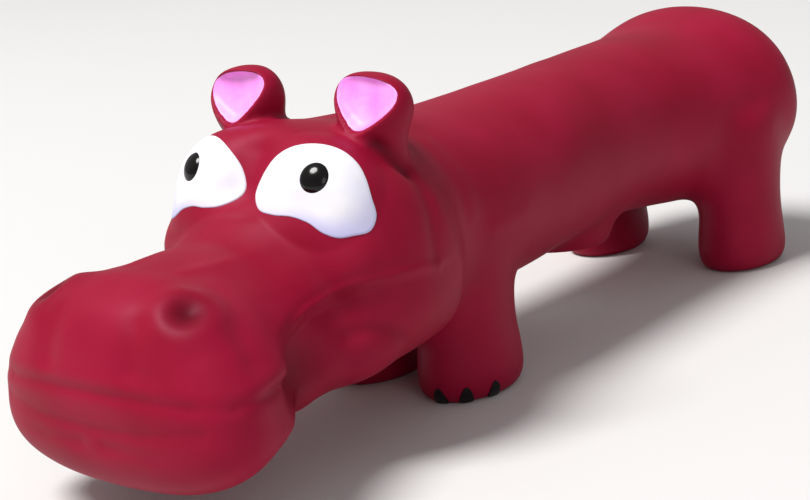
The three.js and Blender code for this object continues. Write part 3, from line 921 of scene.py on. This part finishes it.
# The body that each face of the skin belongs to, with the squeaker's bore left out.
def faceOwners():
    middle = skin[skinFaces].mean(1)
    behind = middle[:, 1] > neckLine("start", middle)
    ahead = middle[:, 1] <= neckLine("middle", middle)
    owner = np.where(behind, "torso", np.where(ahead, "head", "neck")).astype("U16")
    for name, leg in legs.items():
        owner[legWeight(middle, leg) > 0] = name
    for name, side in ears.items():
        owner[earShare(middle, side) > 0] = name
    owner[(collarReach(middle) < collar["bore"]) & (middle[:, 2] < collar["below"])] = "bore"
    return owner


skinOwners = faceOwners()


# The faces of one body, with the whole skin's normals so that no seam shows.
def skinPiece(body):
    used, corners = np.unique(skinFaces[skinOwners == body], return_inverse=True)
    piece = makeObject(oneWord(body) + "Skin", skin[used], corners.reshape(-1, 4))
    piece.data.normals_split_custom_set_from_vertices(skinNormals[used].tolist())
    addPaintedShade(piece, paintedShade[used])
    return piece, skin[used]


piece, place = skinPiece("torso")
bending(piece)
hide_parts("torso_skin", "back_panel")
finishPiece(piece, "latex")

piece, place = skinPiece("neck")
bending(piece)
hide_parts("neck_fold")
finishPiece(piece, "latex")

piece, place = skinPiece("head")
bending(piece)
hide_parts("head_skin")
finishPiece(piece, "latex")

for name, side in ears.items():
    piece, place = skinPiece(name)
    bending(piece)
    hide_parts(name)
    finishPiece(piece, "latex")

for name, leg in legs.items():
    piece, place = skinPiece(name)
    bending(piece)
    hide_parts(name)
    finishPiece(piece, "latex")
print("skin pieces done")

# Painted films on the skin. A place on a flat plane is set on the skin along the plane's facing direction.
# Its depth and normal are means over the skin's points that face the plane, by a bell of the distance.
laying = {"margin": 2, "facing": 0.25, "spread": 0.7, "reach": 20}
# Rings of a film from its middle, as share of the outline and stand above the skin in rises of the film.
# The flat ones run from the first share to the second. The edge turns under the skin and back to the middle.
filmRings = {
    "flat": (0.04, 0.9, 14),
    "edge": [(0.94, 1), (0.97, 0.9), (0.985, 0.5), (1, -1), (0.96, -2), (0.8, -2), (0.4, -2), (0.04, -2)],
    "columns": 96,
}
# Where a film is shaded: downwards between two shares of its height, and outwards between two of its outline.
filmShade = {"height": (0.3, -0.7), "outline": (0.35, 0.95)}


# The facing direction of a plane, with its directions across and upward.
def planeOf(facing, tilt=(0, 0, 1)):
    facing = unit(np.array(facing, float))
    across = unit(np.cross(np.array(tilt, float), facing))
    return facing, across, np.cross(facing, across)


def onSkin(flat, centre, plane, reach):
    facing, across, upward = plane
    offset = skin - centre
    seen = np.stack([offset @ across, offset @ upward], -1)
    low = flat.min(0) - laying["margin"]
    high = flat.max(0) + laying["margin"]
    near = np.all((seen > low) & (seen < high), axis=1) & (np.abs(offset @ facing) < reach)
    near &= skinNormals @ facing > laying["facing"]
    gap = np.linalg.norm(flat[:, None] - seen[near][None], axis=2)
    weight = bell(gap, laying["spread"]) + 1e-12
    weight /= weight.sum(1, keepdims=True)
    depth = weight @ (offset[near] @ facing)
    points = centre + flat[:, :1] * across + flat[:, 1:] * upward + depth[:, None] * facing
    return points, unit(weight @ skinNormals[near])


# A thin closed film: rings grow from the middle to an outline on the skin and shrink again just under it.
# The outline is in millimetres across and up from the centre, clockwise as seen along the facing direction.
def paintedFilm(name, centre, plane, outline, rise, reach=laying["reach"], columns=filmRings["columns"]):
    loop = np.array(outline, float)
    closed = np.vstack([loop[-2:], loop, loop[:3]])
    along = np.linspace(0, len(loop), columns, endpoint=False)
    edge = through(closed, (2 + along) / (len(closed) - 1))
    flatShares = np.linspace(*filmRings["flat"])
    edgeShares, edgeStand = np.array(filmRings["edge"]).T
    shares = np.concatenate([flatShares, edgeShares])
    stand = np.concatenate([np.ones(len(flatShares)), edgeStand])
    flat = (shares[:, None, None] * (edge - edge.mean(0)) + edge.mean(0)).reshape(-1, 2)
    points, normals = onSkin(flat, centre, plane, reach)
    points = points + rise * np.repeat(stand, columns)[:, None] * normals
    piece = makeObject(name, points, tubeFaces(len(shares), columns), poles(len(shares), columns))
    # Painted shade on the film: more towards its lower part and its outline; the eye whites turn lilac there.
    tall = np.ptp(edge[:, 1])
    low = ramp(flat[:, 1] / tall, *filmShade["height"])
    rim = ramp(np.repeat(shares, columns), *filmShade["outline"])
    addPaintedShade(piece, low * rim)
    return piece, points


sides = {"left": 1, "right": -1}
eyeWhite = {
    "centre": (16.4, -66.5, 57.5),
    "facing": (0.42, -0.74, 0.52),
    "rise": 0.25,
    "outline": [
        (-13.6, 0.6),
        (-12.2, 4),
        (-9.2, 6.8),
        (-4.6, 8.5),
        (0.4, 8.6),
        (5, 7.2),
        (8.4, 4.4),
        (10.3, 1),
        (11.4, -2.8),
        (12.2, -6.4),
        (11, -9.4),
        (8, -10.5),
        (5, -11),
        (2, -10),
        (-1, -7.8),
        (-4.6, -6.2),
        (-8.6, -5.3),
        (-12, -3.4),
    ],
}
pupil = {
    "across": 0.4,
    "up": 0.9,
    "radius": 3.4,
    "dome": 1.1,
    "sunk": 0.8,
    "tip": 0.02,
    "rows": 24,
    "columns": 64,
}
earLining = {"share": 0.95, "points": 24, "rise": 0.2, "reach": 7}
nail = {
    "angles": (8, 40, 72),
    "height": 2.1,
    "rise": 0.35,
    "reach": 5,
    "columns": 40,
    "outline": [(-1.4, 0), (-0.8, 1.4), (0, 2), (0.8, 1.4), (1.4, 0), (1.5, -1.5), (0, -1.7), (-1.5, -1.5)],
}


# A low dome with its foot sunk in the skin: out goes as the sine and up as the cosine of a quarter turn.
# A cap closes the small ring at its tip.
def pupilDome(name, foot, normal):
    level = unit(np.cross((0, 0, 1), normal))
    quarter = np.linspace(pupil["tip"], 1, pupil["rows"])[:, None] * np.pi / 2
    turn = -wholeTurn(pupil["columns"])
    out = (pupil["radius"] * np.sin(quarter))[..., None]
    stand = (pupil["dome"] + pupil["sunk"]) * np.cos(quarter) - pupil["sunk"] + 0 * turn
    spoke = np.cos(turn)[..., None] * level + np.sin(turn)[..., None] * np.cross(normal, level)
    points = foot + out * spoke + stand[..., None] * normal
    rows, columns = points.shape[:2]
    return makeObject(name, points.reshape(-1, 3), tubeFaces(rows, columns), poles(rows, columns))


def addEye(word, side):
    mirror = np.array((side, 1, 1))
    plane = planeOf(np.array(eyeWhite["facing"]) * mirror)
    outline = [(side * u, v) for u, v in eyeWhite["outline"]][::side]
    centre = np.array(eyeWhite["centre"]) * mirror
    piece, _ = paintedFilm("eyeWhite" + word.title(), centre, plane, outline, eyeWhite["rise"])
    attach(piece, "head")
    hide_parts("eye_white_" + word)
    finishPiece(piece, "eyePaint")
    spot = np.array([[side * pupil["across"], pupil["up"]]])
    foot, normal = onSkin(spot, centre, plane, laying["reach"])
    piece = pupilDome("pupil" + word.title(), foot[0], normal[0])
    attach(piece, "head")
    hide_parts("pupil_" + word)
    finishPiece(piece, "pupilPaint")


def addEarLining(word, side):
    root, _, up = earAxes(side)
    centre = root + earFace["middle"] * up
    plane = planeOf((0, -1, 0), up)
    outline = earLining["share"] * teardrop(earLining["points"])
    name = "earLining" + word.title()
    piece, place = paintedFilm(name, centre, plane, outline, earLining["rise"], earLining["reach"])
    bending(piece)
    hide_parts("ear_lining_" + word)
    finishPiece(piece, "earPaint")


# Nails stand round the front of a foot, at angles from straight ahead towards the toy's own side.
def addNails(word, side):
    leg = legs["leg_front_" + word]
    halfSizes = np.array((legForm["halfWidth"], legForm["halfDepth"], 1))
    for count, degrees in enumerate(nail["angles"], 1):
        angle = math.radians(degrees)
        outward = np.array((side * math.sin(angle), -math.cos(angle), 0))
        plane = planeOf(outward / halfSizes)
        centre = np.array((leg["x"], leg["y"], nail["height"])) + outward * halfSizes
        name = "nail" + word.title() + str(count)
        shape = nail["outline"], nail["rise"], nail["reach"], nail["columns"]
        piece, _ = paintedFilm(name, centre, plane, *shape)
        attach(piece, "leg_front_" + word)
        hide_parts("nail_front_%s_%d" % (word, count))
        finishPiece(piece, "nailPaint")


for word, side in sides.items():
    addEye(word, side)
    addEarLining(word, side)
    addNails(word, side)
print("painted films done")

# Fibre filling: the trunk's own form between two places along it, drawn in from the skin, with soft lumps.
torsoFilling = {"from": -24, "to": 112, "inset": 4}
headFilling = {"from": -112, "to": -40, "inset": 8}
fibreForm = {"lumpSize": 6, "lumpHeight": 0.9, "seed": 11, "fill": 0.7, "least": 0.02}


# Each point moves towards the middle of its ring by the inset.
def fillingGrid(filling):
    grid = trunkGrid()
    along = grid[:, 0, 1]
    grid = grid[(along > filling["from"]) & (along < filling["to"])]
    centre = grid.mean(1, keepdims=True)
    spoke = grid - centre
    length = np.linalg.norm(spoke, axis=2, keepdims=True)
    inset = filling["inset"]
    return centre + spoke * np.maximum(1 - inset / np.maximum(length, inset), fibreForm["least"])


def fillingPiece(name, filling):
    grid = fillingGrid(filling)
    rows, columns = grid.shape[:2]
    points = grid.reshape(-1, 3)
    faces = tubeFaces(rows, columns)
    bulge = fibreForm["lumpHeight"] * lumps(points, fibreForm["lumpSize"], fibreForm["seed"])
    points = points + bulge[:, None] * normalsOf(points, faces)
    return makeObject(name, points, faces, poles(rows, columns)), points


piece, place = fillingPiece("torsoFilling", torsoFilling)
bending(piece)
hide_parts("torso_filling")
finishPiece(piece, "fibre")
piece, place = fillingPiece("headFilling", headFilling)
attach(piece, "head")
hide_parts("head_filling")
finishPiece(piece, "fibre")

# Squeaker housing, turned from a profile of radius and height: port, flange, barrel and bead.
housing = {
    "y": 36,
    "columns": 96,
    "sharpAngle": 40,
    "profile": [
        (2.5, 18.3),
        (2.5, 17.1),
        (2.8, 16.9),
        (9.2, 16.9),
        (9.6, 17.2),
        (9.6, 18),
        (9.3, 18.3),
        (7.2, 18.3),
        (7.2, 33.9),
        (6, 33.9),
        (6, 18.3),
        (2.5, 18.3),
    ],
}
# The squeaker's inner pieces, each with its look and slot name; they keep their solids and get the look.
innerPieces = {
    "reed_seat": ("squeakerPlastic", "squeaker_plastic"),
    "reed_clamp": ("squeakerPlastic", "squeaker_plastic"),
    "squeaker_cover": ("squeakerPlastic", "squeaker_plastic"),
    "reed": ("reedFilm", "reed_film"),
}

radius, height = np.array(housing["profile"], float).T
lathe = turnedGrid(0, housing["y"], radius, radius, height, housing["columns"])
piece = makeObject("squeakerHousing", lathe.reshape(-1, 3), tubeFaces(*lathe.shape[:2]))
piece.data.set_sharp_from_angle(angle=math.radians(housing["sharpAngle"]))
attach(piece, "torso")
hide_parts("squeaker_housing")
finishPiece(piece, "squeakerPlastic")
for name, (look, slot) in innerPieces.items():
    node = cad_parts[name]
    node.data.materials.clear()
    finishPiece(node, look)
print("fillings and squeaker done")

# Camera, light and floor. The camera turns about its target, and the lights' places are in metres.
camera = {
    "azimuth": 40.8,
    "elevation": 15.07,
    "roll": 5.7,
    "distance": 401.75,
    "target": (-0.47, -21.88, 30.53),
    "lens": 80.7,
    "sensor": 36,
    "clip": (0.01, 100),
}
lights = {
    "key": {"place": (-0.7, -1.2, 2.6), "size": 1.3, "power": 115, "tint": (1, 0.98, 0.96)},
    "fill": {"place": (1.9, -1.2, 0.9), "size": 1.2, "power": 6, "tint": (1, 0.97, 0.98)},
}
lightAim = (0, -0.02, 0.03)
studio = {"tint": (1, 1, 1), "strength": 0.36, "view": "Standard"}
floor = {"radius": 6000, "sides": 64, "tint": (0.66, 0.66, 0.66), "roughness": 0.7}


def addCamera():
    azimuth, elevation, roll = (math.radians(camera[k]) for k in ("azimuth", "elevation", "roll"))
    flat = math.cos(elevation)
    back = Vector((math.sin(azimuth) * flat, -math.cos(azimuth) * flat, math.sin(elevation)))
    level = Vector((math.cos(azimuth), math.sin(azimuth), 0))
    upward = back.cross(level)
    right = level * math.cos(roll) - upward * math.sin(roll)
    top = level * math.sin(roll) + upward * math.cos(roll)
    eye = bpy.data.objects.new("camera", bpy.data.cameras.new("camera"))
    turn = Matrix((right, top, back)).transposed().to_4x4()
    eye.matrix_world = Matrix.Translation((Vector(camera["target"]) + back * camera["distance"]) * mm) @ turn
    eye.data.lens = camera["lens"]
    eye.data.sensor_width = camera["sensor"]
    eye.data.clip_start, eye.data.clip_end = camera["clip"]
    bpy.context.scene.collection.objects.link(eye)
    bpy.context.scene.camera = eye


def addLight(name, values):
    light = bpy.data.lights.new(name, "AREA")
    light.shape = "DISK"
    light.size = values["size"]
    light.energy = values["power"]
    light.color = values["tint"]
    lamp = bpy.data.objects.new(name, light)
    place = Vector(values["place"])
    turn = (place - Vector(lightAim)).to_track_quat("Z", "Y").to_matrix().to_4x4()
    lamp.matrix_world = Matrix.Translation(place) @ turn
    bpy.context.scene.collection.objects.link(lamp)


def addStudio():
    world = bpy.data.worlds.new("studio")
    world.use_nodes = True
    background = world.node_tree.nodes["Background"]
    background.inputs["Color"].default_value = (*studio["tint"], 1)
    background.inputs["Strength"].default_value = studio["strength"]
    bpy.context.scene.world = world
    bpy.context.scene.view_settings.view_transform = studio["view"]


def addFloor():
    turn = wholeTurn(floor["sides"])[0]
    points = np.stack([floor["radius"] * np.cos(turn), floor["radius"] * np.sin(turn), 0 * turn], -1)
    ground = makeObject("floor", points, [], [np.arange(floor["sides"])])
    look = bpy.data.materials.new("paleFloor")
    look.use_nodes = True
    shader = look.node_tree.nodes["Principled BSDF"]
    shader.inputs["Base Color"].default_value = (*floor["tint"], 1)
    shader.inputs["Roughness"].default_value = floor["roughness"]
    ground.data.materials.append(look)


addCamera()
for name, values in lights.items():
    addLight(name, values)
addStudio()
addFloor()
print("camera, light and floor done")
